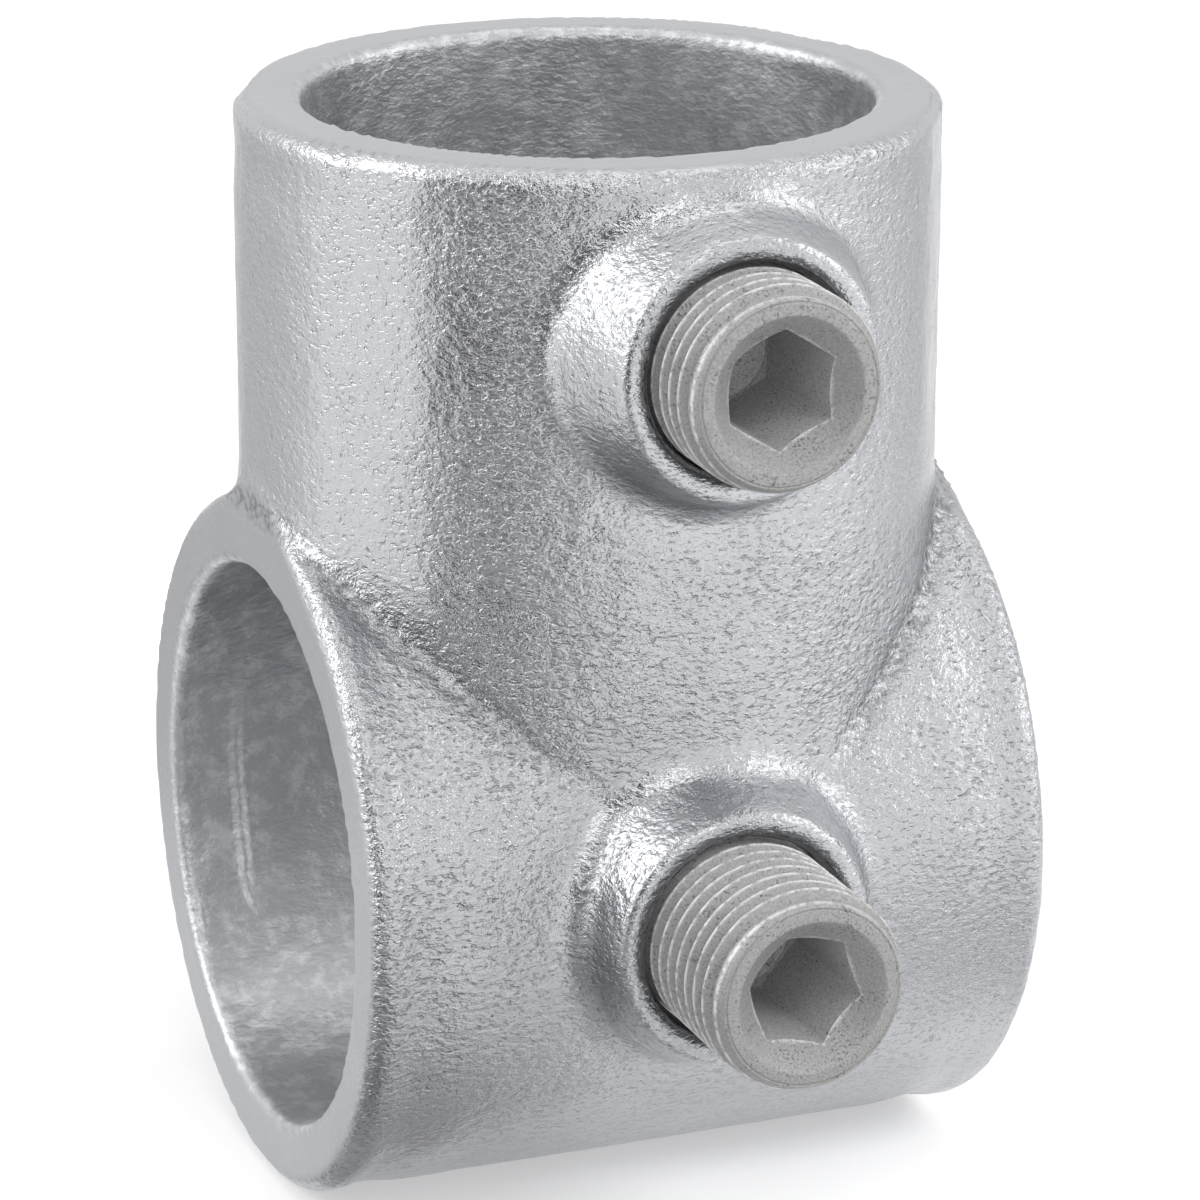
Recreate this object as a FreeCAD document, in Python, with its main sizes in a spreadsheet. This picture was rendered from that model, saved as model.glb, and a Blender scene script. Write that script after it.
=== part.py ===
import FreeCAD, Part
import math
import os
import Sketcher

# A malleable-iron tee that clamps two tubes at a right angle.
# One tube runs through the sleeve along X, and a second one stands in the socket along Z.
# The origin is where the two tube axes cross, and both set screws are at the front, at -Y.

# Driving dimensions, in millimetres and degrees.
DRIVING = {
    "tube_diameter": 33.7,
    "sleeve_clearance": 2.3,
    "socket_clearance": 2.1,
    "sleeve_wall": 4.7,
    "socket_wall": 4.6,
    "end_margin": 0.2,
    "socket_reach": 25.0,
    "outer_edge_round": 1.2,
    "bore_edge_round": 0.7,
    "saddle_blend": 2.0,
    "boss_rise": 4.3,
    "boss_wall": 1.9,
    "boss_taper": 18,
    "boss_edge_round": 0.8,
    "boss_blend": 2.2,
    "mouth_relief": 0.55,
    "mouth_depth": 1.3,
    "screw_below_top": 11.6,
    "screw_diameter": 12.8,
    "screw_clearance": 0.05,
    "screw_length": 13.8,
    "upper_projection": 5.1,
    "lower_projection": 9.65,
    "upper_turn": 27.6,
    "lower_turn": -11.5,
    "lead_in_rise": 0.65,
    "lead_in_length": 1.4,
    "countersink_radius": 4.83,
    "countersink_depth": 1.65,
    "hex_across_flats": 6.5,
    "broach_cut": 0.05,
    "drill_beyond_hex": 1.3,
    "drill_cone": 0.8,
    "point_web": 1.0,
    "point_radius": 4.6,
    "cup_radius": 3.9,
    "cup_depth": 1.1,
}

# Sizes that follow from the driving ones.
DERIVED = {
    "sleeve_bore_radius": "(tube_diameter + sleeve_clearance) / 2",
    "socket_bore_radius": "(tube_diameter + socket_clearance) / 2",
    "sleeve_radius": "sleeve_bore_radius + sleeve_wall",
    "socket_radius": "socket_bore_radius + socket_wall",
    "sleeve_half": "socket_radius + end_margin",
    "blank_length": "2 * sleeve_half + 4 * saddle_blend",
    "waste_end": "sleeve_half + 3 * saddle_blend",
    "waste_height": "sleeve_radius + 2 * saddle_blend",
    "socket_height": "sleeve_radius + socket_reach",
    "upper_height": "socket_height - screw_below_top",
    "screw_radius": "screw_diameter / 2",
    "hole_radius": "screw_radius + screw_clearance",
    "boss_face_radius": "screw_radius + boss_wall",
    "upper_face": "socket_radius + boss_rise",
    "lower_face": "sleeve_radius + boss_rise",
    "upper_root_radius": "boss_face_radius + (upper_face - socket_bore_radius) * tan(boss_taper)",
    "lower_root_radius": "boss_face_radius + (lower_face - socket_bore_radius) * tan(boss_taper)",
    "mouth_radius": "hole_radius + mouth_relief",
    "upper_mouth_floor": "upper_face - mouth_depth",
    "lower_mouth_floor": "lower_face - mouth_depth",
    "upper_end": "upper_face + upper_projection",
    "lower_end": "lower_face + lower_projection",
    "end_radius": "screw_radius - lead_in_rise",
    "point_start": "screw_length - screw_radius + point_radius",
    "cup_floor": "screw_length - cup_depth",
    "hex_inner_radius": "hex_across_flats / 2",
    "hex_corner_radius": "hex_inner_radius / cos(30)",
    "drill_radius": "hex_inner_radius - broach_cut",
    "drill_tip": "cup_floor - point_web",
    "drill_floor": "drill_tip - drill_cone",
    "hex_depth": "drill_floor - drill_beyond_hex",
}

doc = FreeCAD.newDocument("tube_clamp_tee")
sheet = doc.addObject("Spreadsheet::Sheet", "sizes")
cells = list(DRIVING.items()) + [(alias, "=" + formula) for alias, formula in DERIVED.items()]
for row, (alias, content) in enumerate(cells, start=1):
    sheet.set(f"A{row}", alias)
    sheet.set(f"B{row}", str(content))
    sheet.setAlias(f"B{row}", alias)
doc.recompute()


def size(alias):
    """The value of a named cell, or its negative where the name starts with a minus."""
    sign = -1 if alias.startswith("-") else 1
    return sign * float(getattr(sheet, alias.lstrip("-")))


def bound(alias):
    """The same name as an expression that other objects can be bound to."""
    return ("-" if alias.startswith("-") else "") + "sizes." + alias.lstrip("-")


def origin_item(body, role):
    """One of a body's origin planes or axes, found by its role."""
    return next(item for item in body.Origin.OriginFeatures if item.Role == role)


def add_sketch(body, name, plane, **shifts):
    """A sketch on one of the body's origin planes, shifted by named sizes along its own axes."""
    sketch = body.newObject("Sketcher::SketchObject", name)
    sketch.AttachmentSupport = [(origin_item(body, plane), "")]
    sketch.MapMode = "FlatFace"
    for direction, alias in shifts.items():
        sketch.setExpression(f"AttachmentOffset.Base.{direction}", bound(alias))
    return sketch


def add_circle(sketch, radius):
    """A circle round the sketch's origin, with its radius bound to a named size."""
    circle = sketch.addGeometry(Part.Circle(FreeCAD.Vector(), FreeCAD.Vector(0, 0, 1), size(radius)))
    sketch.addConstraint(Sketcher.Constraint("Coincident", circle, 3, -1, 1))
    index = sketch.addConstraint(Sketcher.Constraint("Radius", circle, size(radius)))
    sketch.setExpression(f"Constraints[{index}]", bound(radius))


def add_outline(sketch, corners):
    """A closed outline through corners, each a pair of names, with None for a place on an axis."""
    places = [[size(alias) if alias else 0.0 for alias in corner] for corner in corners]
    points = [FreeCAD.Vector(across, along, 0) for across, along in places]
    lines = []
    for index, point in enumerate(points):
        lines.append(sketch.addGeometry(Part.LineSegment(point, points[(index + 1) % len(points)])))
    for index, line in enumerate(lines):
        following = lines[(index + 1) % len(lines)]
        sketch.addConstraint(Sketcher.Constraint("Coincident", line, 2, following, 1))
    for line, corner, place in zip(lines, corners, places):
        for kind, axis, alias, value in zip(("DistanceX", "DistanceY"), (-2, -1), corner, place):
            if alias is None:
                sketch.addConstraint(Sketcher.Constraint("PointOnObject", line, 1, axis))
                continue
            index = sketch.addConstraint(Sketcher.Constraint(kind, -1, 1, line, 1, value))
            sketch.setExpression(f"Constraints[{index}]", bound(alias))


def add_hexagon(sketch, corner_radius):
    """A regular hexagon round the sketch's origin, with one corner on its horizontal axis."""
    reach = size(corner_radius)
    circle = sketch.addGeometry(Part.Circle(FreeCAD.Vector(), FreeCAD.Vector(0, 0, 1), reach), True)
    sketch.addConstraint(Sketcher.Constraint("Coincident", circle, 3, -1, 1))
    index = sketch.addConstraint(Sketcher.Constraint("Radius", circle, reach))
    sketch.setExpression(f"Constraints[{index}]", bound(corner_radius))
    angles = [math.radians(60 * step) for step in range(7)]
    points = [FreeCAD.Vector(reach * math.cos(angle), reach * math.sin(angle), 0) for angle in angles]
    sides = [sketch.addGeometry(Part.LineSegment(start, end)) for start, end in zip(points, points[1:])]
    for step, side in enumerate(sides):
        sketch.addConstraint(Sketcher.Constraint("Coincident", side, 2, sides[step - 5], 1))
        sketch.addConstraint(Sketcher.Constraint("PointOnObject", side, 1, circle))
        if step > 0:
            sketch.addConstraint(Sketcher.Constraint("Equal", sides[0], side))
    sketch.addConstraint(Sketcher.Constraint("PointOnObject", sides[0], 1, -1))


def add_feature(body, kind, name, profile, **bindings):
    """A feature of a body from a sketch or from named edges, with its sizes bound to cells."""
    feature = body.newObject(f"PartDesign::{kind}", name)
    if isinstance(profile, list):
        feature.Base = (feature.BaseFeature, profile)
    else:
        feature.Profile = profile
    for attribute, alias in bindings.items():
        feature.setExpression(attribute, bound(alias))
    feature.Refine = False
    return feature


def settle(feature, grows=None):
    """Recompute, and check that the feature worked, and that it added or removed material as told."""
    doc.recompute()
    if "Invalid" in feature.State or feature.Shape.isNull():
        raise RuntimeError(f"{feature.Label} failed, {feature.State}")
    before = feature.BaseFeature.Shape.Volume if feature.BaseFeature else 0.0
    change = feature.Shape.Volume - before
    print(f"{feature.Label}: {change:+.1f} mm3")
    if grows is not None and (change > 0) != grows:
        raise RuntimeError(f"{feature.Label} changed the volume the wrong way")
    return feature


def edges_where(feature, wanted):
    """Names of the feature's edges whose middle point passes a test."""
    names = []
    for number, edge in enumerate(feature.Shape.Edges, start=1):
        if wanted(edge.valueAt((edge.FirstParameter + edge.LastParameter) / 2)):
            names.append(f"Edge{number}")
    return names


# Lengths that are this close, in millimetres, count as the same.
SAME_LENGTH = 1e-4


def near(value, target):
    """Whether two lengths are the same but for rounding."""
    return abs(value - target) < SAME_LENGTH


def from_axis(first, second):
    """Distance from an axis, given the two coordinates across it."""
    return (first ** 2 + second ** 2) ** 0.5


# The casting starts as a sleeve blank that is longer than needed, so that the blend round the
# socket's foot can run out over its ends. The socket stands on it, turned about Z.
casting = doc.addObject("PartDesign::Body", "cast_tee")
sleeve_circle = add_sketch(casting, "sleeve_circle", "YZ_Plane")
add_circle(sleeve_circle, "sleeve_radius")
blank = add_feature(casting, "Pad", "sleeve_blank", sleeve_circle, Length="blank_length")
blank.Midplane = True
settle(blank, grows=True)

socket_half = add_sketch(casting, "socket_half", "YZ_Plane")
add_outline(socket_half, [
    (None, None),
    ("socket_radius", None),
    ("socket_radius", "socket_height"),
    (None, "socket_height"),
])
socket = add_feature(casting, "Revolution", "socket", socket_half)
socket.ReferenceAxis = (socket_half, ["V_Axis"])
settle(socket, grows=True)


def on_saddle(middle):
    """Where the socket's side meets the sleeve's."""
    on_sleeve = near(from_axis(middle.y, middle.z), size("sleeve_radius"))
    return on_sleeve and near(from_axis(middle.x, middle.y), size("socket_radius"))


saddle = add_feature(casting, "Fillet", "saddle_blend", edges_where(socket, on_saddle), Radius="saddle_blend")
settle(saddle)

# Both ends of the blank are turned off square, just outside the socket's side.
end_waste = add_sketch(casting, "end_waste", "XZ_Plane")
for near_end, far_end in (("-sleeve_half", "-waste_end"), ("sleeve_half", "waste_end")):
    add_outline(end_waste, [
        (near_end, None),
        (far_end, None),
        (far_end, "waste_height"),
        (near_end, "waste_height"),
    ])
squared = add_feature(casting, "Groove", "square_ends", end_waste)
squared.ReferenceAxis = (end_waste, ["H_Axis"])
settle(squared, grows=False)


def on_outer_rim(middle):
    """The rims of the two sleeve ends and of the socket's top."""
    return near(abs(middle.x), size("sleeve_half")) or near(middle.z, size("socket_height"))


rim_edges = edges_where(squared, on_outer_rim)
rims = add_feature(casting, "Fillet", "rim_rounds", rim_edges, Radius="outer_edge_round")
settle(rims)


def add_boss(name, face, height):
    """A raised boss for a set screw, flaring from its face down into the tube wall."""
    shift = {"y": height} if height else {}
    half = add_sketch(casting, f"{name}_boss_half", "YZ_Plane", **shift)
    add_outline(half, [
        ("-" + face, None),
        ("-" + face, "boss_face_radius"),
        ("-socket_bore_radius", f"{name}_root_radius"),
        ("-socket_bore_radius", None),
    ])
    boss = add_feature(casting, "Revolution", f"{name}_boss", half)
    boss.ReferenceAxis = (half, ["H_Axis"])
    settle(boss, grows=True)

    level = size(height) if height else 0.0
    slope = math.tan(math.radians(size("boss_taper")))

    def on_face(middle):
        return near(middle.y, -size(face))

    def on_foot(middle):
        """Where the boss's flank meets the tube wall."""
        flank = size("boss_face_radius") + (size(face) + middle.y) * slope
        on_flank = near(from_axis(middle.x, middle.z - level), flank)
        outside_bore = middle.y < -size("socket_bore_radius") - SAME_LENGTH
        return on_flank and outside_bore and not on_face(middle)

    foot_edges = edges_where(boss, on_foot)
    foot = add_feature(casting, "Fillet", f"{name}_boss_blend", foot_edges, Radius="boss_blend")
    settle(foot)
    lip_edges = edges_where(foot, on_face)
    lip = add_feature(casting, "Fillet", f"{name}_boss_lip", lip_edges, Radius="boss_edge_round")
    settle(lip)


BOSSES = (("upper", "upper_face", "upper_height"), ("lower", "lower_face", None))
for name, face, height in BOSSES:
    add_boss(name, face, height)

# The two bores, which open into each other.
sleeve_bore_circle = add_sketch(casting, "sleeve_bore_circle", "YZ_Plane")
add_circle(sleeve_bore_circle, "sleeve_bore_radius")
sleeve_bore = add_feature(casting, "Pocket", "sleeve_bore", sleeve_bore_circle)
sleeve_bore.Type = "ThroughAll"
sleeve_bore.Midplane = True
settle(sleeve_bore, grows=False)

socket_bore_circle = add_sketch(casting, "socket_bore_circle", "XY_Plane")
add_circle(socket_bore_circle, "socket_bore_radius")
socket_bore = add_feature(casting, "Pocket", "socket_bore", socket_bore_circle, Length="socket_height")
socket_bore.Reversed = True
settle(socket_bore, grows=False)


def on_mouth(middle):
    """The inner edges of the three open ends."""
    across_sleeve = from_axis(middle.y, middle.z)
    at_end = near(abs(middle.x), size("sleeve_half")) and near(across_sleeve, size("sleeve_bore_radius"))
    across_socket = from_axis(middle.x, middle.y)
    at_top = near(middle.z, size("socket_height")) and near(across_socket, size("socket_bore_radius"))
    return at_end or at_top


mouth_edges = edges_where(socket_bore, on_mouth)
mouths = add_feature(casting, "Fillet", "mouth_rounds", mouth_edges, Radius="bore_edge_round")
settle(mouths)


def add_screw_hole(name, face, height):
    """A screw hole from the boss's face through the wall, with a steep relief at its mouth."""
    shifts = {"z": face, "y": height} if height else {"z": face}
    circle = add_sketch(casting, f"{name}_hole_circle", "XZ_Plane", **shifts)
    add_circle(circle, "hole_radius")
    settle(add_feature(casting, "Pocket", f"{name}_hole", circle, Length=face), grows=False)

    shift = {"y": height} if height else {}
    mouth_half = add_sketch(casting, f"{name}_mouth_half", "YZ_Plane", **shift)
    add_outline(mouth_half, [
        ("-" + face, None),
        ("-" + face, "mouth_radius"),
        (f"-{name}_mouth_floor", "hole_radius"),
        (f"-{name}_mouth_floor", None),
    ])
    mouth = add_feature(casting, "Groove", f"{name}_mouth", mouth_half)
    mouth.ReferenceAxis = (mouth_half, ["H_Axis"])
    settle(mouth, grows=False)


for name, face, height in BOSSES:
    add_screw_hole(name, face, height)


def add_set_screw(label, end, height, turn):
    """A set screw drawn in its own frame: its outer end at the origin, and +Y towards its point."""
    screw = doc.addObject("PartDesign::Body", label)

    # The turned blank, with the hole that is drilled for the key socket.
    half = add_sketch(screw, f"{label}_half", "XY_Plane")
    add_outline(half, [
        (None, "drill_tip"),
        ("drill_radius", "drill_floor"),
        ("drill_radius", "countersink_depth"),
        ("countersink_radius", None),
        ("end_radius", None),
        ("screw_radius", "lead_in_length"),
        ("screw_radius", "point_start"),
        ("point_radius", "screw_length"),
        ("cup_radius", "screw_length"),
        (None, "cup_floor"),
    ])
    shank = add_feature(screw, "Revolution", f"{label}_shank", half)
    shank.ReferenceAxis = (half, ["V_Axis"])
    settle(shank, grows=True)

    # The hexagon is broached into the drilled hole, and stops short of its floor.
    hexagon = add_sketch(screw, f"{label}_hexagon", "XZ_Plane")
    add_hexagon(hexagon, "hex_corner_radius")
    key_hole = add_feature(screw, "Pocket", f"{label}_key_hole", hexagon, Length="hex_depth")
    settle(key_hole, grows=False)

    screw.Placement.Rotation = FreeCAD.Rotation(FreeCAD.Vector(0, -1, 0), size(turn))
    screw.setExpression("Placement.Rotation.Angle", bound(turn))
    screw.setExpression("Placement.Base.y", bound("-" + end))
    if height:
        screw.setExpression("Placement.Base.z", bound(height))
    return screw


screws = [
    add_set_screw("upper_set_screw", "upper_end", "upper_height", "upper_turn"),
    add_set_screw("lower_set_screw", "lower_end", None, "lower_turn"),
]
doc.recompute()

failed = [item.Label for item in doc.Objects if "Invalid" in item.State or "Error" in item.State]
if failed:
    raise RuntimeError(f"failed objects: {failed}")

os.makedirs("parts", exist_ok=True)
for piece in [casting, *screws]:
    shape = piece.Shape
    if shape.isNull() or not shape.isValid():
        raise RuntimeError(f"{piece.Label} has no valid shape")
    shape.exportStep(f"parts/{piece.Label}.step")
    print(f"{piece.Label}: {shape.Volume:.0f} mm3, {len(shape.Solids)} solid, {len(shape.Faces)} faces")
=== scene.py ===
# %% [markdown]
# # A cast tee for joining two tubes
#
# The fitting is one iron casting with a sleeve, a socket on top of it, and two set screws.
# The solid model gives every size and place. This lesson loads it and dresses it:
# a cast surface with its zinc coat, real threads on the screws, and a plain photo studio.

import math

import bmesh
import bpy
from mathutils import Matrix, Vector


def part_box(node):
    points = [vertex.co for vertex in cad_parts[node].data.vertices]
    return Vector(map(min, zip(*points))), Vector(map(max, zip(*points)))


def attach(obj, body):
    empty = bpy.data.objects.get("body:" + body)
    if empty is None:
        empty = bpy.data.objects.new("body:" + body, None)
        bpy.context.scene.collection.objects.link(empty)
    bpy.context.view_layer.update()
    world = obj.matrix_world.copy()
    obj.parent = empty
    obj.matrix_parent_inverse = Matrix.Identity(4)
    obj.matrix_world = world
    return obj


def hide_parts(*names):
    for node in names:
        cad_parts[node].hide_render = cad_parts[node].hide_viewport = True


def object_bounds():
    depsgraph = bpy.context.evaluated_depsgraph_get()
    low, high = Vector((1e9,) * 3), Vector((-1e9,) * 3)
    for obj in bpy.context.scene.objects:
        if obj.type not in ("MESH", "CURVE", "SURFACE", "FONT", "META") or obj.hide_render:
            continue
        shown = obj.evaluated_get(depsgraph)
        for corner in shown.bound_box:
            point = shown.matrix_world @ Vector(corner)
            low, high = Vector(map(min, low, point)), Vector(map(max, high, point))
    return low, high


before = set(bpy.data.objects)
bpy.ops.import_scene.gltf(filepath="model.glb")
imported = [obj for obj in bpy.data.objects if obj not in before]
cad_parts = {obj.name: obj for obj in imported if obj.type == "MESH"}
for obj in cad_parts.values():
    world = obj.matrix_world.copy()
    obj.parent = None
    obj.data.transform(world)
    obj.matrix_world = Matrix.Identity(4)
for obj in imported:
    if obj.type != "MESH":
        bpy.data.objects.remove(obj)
cad_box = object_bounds()
print("nodes:", sorted(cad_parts))

# %% [markdown]
# Blender works in metres, but a maker reads millimetres. One short helper keeps the numbers
# below in millimetres, and every length goes through it. A second one puts a new object in
# the scene.

# %% Millimetres and objects
MM = 0.001


def mm(*lengths):
    """Lengths in millimetres as Blender's metres: one number, or a vector for three."""
    if len(lengths) == 1:
        return lengths[0] * MM
    return Vector(lengths) * MM


def new_object(name, data):
    """An object that shows a mesh, a lamp or a camera, put in the scene."""
    thing = bpy.data.objects.new(name, data)
    bpy.context.scene.collection.objects.link(thing)
    return thing


print("the solid model spans", [round(edge / MM, 1) for edge in cad_box[1] - cad_box[0]], "mm")

# %% [markdown]
# ## The camera
#
# The picture is taken from the front, a little from the left and from above, through a long
# lens, which keeps the two round mouths nearly as flat ellipses. A camera is placed here,
# not by a tracking constraint, because its three directions are known as vectors.

# %% Camera
CAMERA_AZIMUTH = math.radians(-21.97)
CAMERA_ELEVATION = math.radians(18.19)
CAMERA_ROLL = math.radians(0.25)
CAMERA_LENS, SENSOR_WIDTH = 163.34, 36.0
CAMERA_DISTANCE, CLIP_START = 350.3, 10.0
AIM = mm(0, 0, 22.13)
AIM_RIGHT, AIM_UP = 0.826, -7.93


def outwards(azimuth, elevation):
    """The direction away from the fitting, by an angle round it from the front and one up."""
    return Vector((
        math.sin(azimuth) * math.cos(elevation),
        -math.cos(azimuth) * math.cos(elevation),
        math.sin(elevation),
    ))


back = outwards(CAMERA_AZIMUTH, CAMERA_ELEVATION)
level_right = (-back).cross(Vector((0, 0, 1))).normalized()
level_up = level_right.cross(-back)
right = math.cos(CAMERA_ROLL) * level_right + math.sin(CAMERA_ROLL) * level_up
up = -math.sin(CAMERA_ROLL) * level_right + math.cos(CAMERA_ROLL) * level_up

lens = bpy.data.cameras.new("product_camera")
lens.lens = CAMERA_LENS
lens.sensor_width = SENSOR_WIDTH
lens.clip_start = mm(CLIP_START)
camera = new_object("product_camera", lens)
camera.rotation_mode = "QUATERNION"
camera.rotation_quaternion = Matrix((right, up, back)).transposed().to_quaternion()
camera.location = AIM + mm(AIM_RIGHT) * right + mm(AIM_UP) * up + mm(CAMERA_DISTANCE) * back
bpy.context.scene.camera = camera
print("camera at", [round(value / MM) for value in camera.location], "mm")

# %% [markdown]
# ## Building with nodes
#
# Materials and Geometry Nodes are both trees of nodes, and a script makes either in the same
# way: add a node, then set or link each of its inputs. A few helpers keep that readable. A
# value that is itself a socket is linked, and any other value is typed in.

# %% Node helpers
def feed(tree, socket, value):
    """Link a socket to another one, or type a plain value into it."""
    if isinstance(value, bpy.types.NodeSocket):
        tree.links.new(value, socket)
    else:
        socket.default_value = value


def add_node(tree, kind, inputs=None, **settings):
    """A node with its settings made, and its inputs fed by name or number."""
    node = tree.nodes.new(kind)
    for name, value in settings.items():
        setattr(node, name, value)
    for name, value in (inputs or {}).items():
        feed(tree, node.inputs[name], value)
    return node


def maths(tree, operation, *values):
    """The result of one Math node."""
    node = add_node(tree, "ShaderNodeMath", dict(enumerate(values)), operation=operation)
    return node.outputs[0]


def joined(tree, operation, first, *others):
    """One value from several, taken up one after another by Math nodes of one kind."""
    for other in others:
        first = maths(tree, operation, first, other)
    return first


def one_minus(tree, value):
    """What a share leaves of one."""
    return maths(tree, "SUBTRACT", 1.0, value)


def blend_range(tree, value, low, high, to_low=0.0, to_high=1.0):
    """A value carried smoothly from one range to another, and held at its ends."""
    ends = {"From Min": low, "From Max": high, "To Min": to_low, "To Max": to_high}
    inputs = {"Value": value, **ends}
    return add_node(tree, "ShaderNodeMapRange", inputs, interpolation_type="SMOOTHSTEP").outputs[0]


def rise(tree, length, span):
    """Nought before a span of millimetres, one after it, and smooth between."""
    return blend_range(tree, length, mm(span[0]), mm(span[1]))


def fall(tree, length, span):
    """One before a span of millimetres, nought after it, and smooth between."""
    return blend_range(tree, length, mm(span[0]), mm(span[1]), 1.0, 0.0)


def distance_from_axis(tree, first, second):
    """How far a point is from an axis, from its two coordinates across that axis."""
    first_squared = maths(tree, "MULTIPLY", first, first)
    second_squared = maths(tree, "MULTIPLY", second, second)
    return maths(tree, "SQRT", maths(tree, "ADD", first_squared, second_squared))


# %% [markdown]
# ## The studio
#
# The picture has a white background and soft light. The floor is a pale sheet that keeps the
# fitting's shadow. The world is white wherever the camera or a reflection looks, and darker
# for diffuse light, so the background is white without more light falling on the metal.

# %% World
WHITE = (1, 1, 1, 1)
DIFFUSE_DAYLIGHT = 0.55


def seen_directly(tree):
    """One for rays from the camera, a reflection or a clear piece, and nought for soft light."""
    path = add_node(tree, "ShaderNodeLightPath").outputs
    kinds = ("Is Camera Ray", "Is Glossy Ray", "Is Transmission Ray")
    return joined(tree, "MAXIMUM", *(path[kind] for kind in kinds))


world = bpy.data.worlds.new("white_studio")
bpy.context.scene.world = world
world.use_nodes = True
sky = world.node_tree
sky.nodes.clear()
daylight = {"Color": WHITE, "Strength": DIFFUSE_DAYLIGHT}
soft_light = add_node(sky, "ShaderNodeBackground", daylight)
white = add_node(sky, "ShaderNodeBackground", {"Color": WHITE, "Strength": 1.0})
choice = add_node(sky, "ShaderNodeMixShader", {
    0: seen_directly(sky),
    1: soft_light.outputs[0],
    2: white.outputs[0],
})
add_node(sky, "ShaderNodeOutputWorld", {"Surface": choice.outputs[0]})
bpy.context.scene.view_settings.view_transform = "Standard"
print("the world lights diffuse surfaces at", DIFFUSE_DAYLIGHT)

# %% [markdown]
# The floor lies just under the sleeve, which is the fitting's lowest place. Far from the
# lamps it gets dimmer, so there the camera sees it whitened a little more.

# %% Floor
FLOOR_HALF = 1500.0
FLOOR_COLOUR = (0.70, 0.70, 0.705, 1)
FLOOR_WHITENESS, FAR_WHITENESS = 0.37, 0.32
FAR_START, FAR_END = 250.0, 900.0


def flat_sheet(name, corners, material):
    """A single four-cornered sheet for the studio, which isn't part of the fitting."""
    mesh = bpy.data.meshes.new(name)
    mesh.from_pydata([tuple(corner) for corner in corners], [], [(0, 1, 2, 3)])
    mesh.materials.append(material)
    sheet = new_object(name, mesh)
    return sheet


def new_material(name):
    """An empty node material, with its tree."""
    material = bpy.data.materials.new(name)
    material.use_nodes = True
    material.node_tree.nodes.clear()
    return material, material.node_tree


def object_place(tree):
    """The place of each shaded point, in its object's own coordinates."""
    return add_node(tree, "ShaderNodeTexCoord").outputs["Object"]


paper, paper_tree = new_material("studio_paper")
matt = add_node(paper_tree, "ShaderNodeBsdfDiffuse", {"Color": FLOOR_COLOUR})
reach = {0: object_place(paper_tree)}
from_fitting = add_node(paper_tree, "ShaderNodeVectorMath", reach, operation="LENGTH").outputs["Value"]
extra = blend_range(paper_tree, from_fitting, mm(FAR_START), mm(FAR_END), 0.0, FAR_WHITENESS)
by_camera = add_node(paper_tree, "ShaderNodeLightPath").outputs["Is Camera Ray"]
extra = maths(paper_tree, "MULTIPLY", extra, by_camera)
whiteness = maths(paper_tree, "MULTIPLY_ADD", seen_directly(paper_tree), FLOOR_WHITENESS, extra)
glow = add_node(paper_tree, "ShaderNodeEmission", {"Color": WHITE, "Strength": whiteness})
both = add_node(paper_tree, "ShaderNodeAddShader", {0: matt.outputs[0], 1: glow.outputs[0]})
add_node(paper_tree, "ShaderNodeOutputMaterial", {"Surface": both.outputs[0]})

floor_level = cad_box[0].z / MM
floor_corners = [
    mm(side * FLOOR_HALF, depth * FLOOR_HALF, floor_level)
    for side, depth in [(-1, -1), (1, -1), (1, 1), (-1, 1)]
]
flat_sheet("studio_floor", floor_corners, paper)
print("the floor lies at", round(floor_level, 2), "mm")

# %% [markdown]
# Bright metal has no colour of its own to show: it shows what stands round it. In an all-white
# room it looks like paper, so a photographer stands dark cards in front of it. Only
# reflections see these cards, and they neither shade the fitting nor show in the picture.
#
# The card that makes the dark band on the socket lies on three wider, paler ones, which
# softens the band's edges. The cards at the foot show only in surfaces that lean downwards,
# such as the lower sides of the zinc's beads. Each corner of a card is given as a direction
# round the fitting in degrees, a distance and a height.

# %% Dark cards
CARD_LIFT, CARD_REACH = 0.3, 430
BAND_LEFT, BAND_RIGHT_NEAR, BAND_RIGHT_FAR = -66, -50, -24
# Each layer's shade, how many degrees wider it is on each side, and where it starts.
BAND_LAYERS = [(0.72, 14, 74), (0.48, 8, 88), (0.28, 3, 112), (0.10, -2, 150)]
low = floor_level + CARD_LIFT


def dark_card(name, shade, corners):
    """A card that only reflections see, from its shade and its corners."""
    card_paper, card_tree = new_material(name)
    card_matt = add_node(card_tree, "ShaderNodeBsdfDiffuse", {"Color": (shade, shade, shade, 1)})
    add_node(card_tree, "ShaderNodeOutputMaterial", {"Surface": card_matt.outputs[0]})
    places = []
    for azimuth, away, height in corners:
        turn = math.radians(azimuth)
        places.append(mm(away * math.sin(turn), -away * math.cos(turn), height))
    card = flat_sheet(name, places, card_paper)
    card.visible_camera = False
    card.visible_diffuse = False
    card.visible_shadow = False


def on_table(left, side, near, far):
    """The corners of a card that lies flat, between two directions and two distances."""
    return [(left, near, low), (side, near, low), (side, far, low), (left, far, low)]


for layer, (shade, wider, start) in enumerate(BAND_LAYERS):
    level = low + CARD_LIFT * layer
    dark_card(f"card_on_table_{layer}", shade, [
        (BAND_LEFT - wider, start, level),
        (BAND_RIGHT_NEAR + wider, start, level),
        (BAND_RIGHT_FAR + wider, CARD_REACH, level),
        (BAND_LEFT - wider, CARD_REACH, level),
    ])

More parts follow.
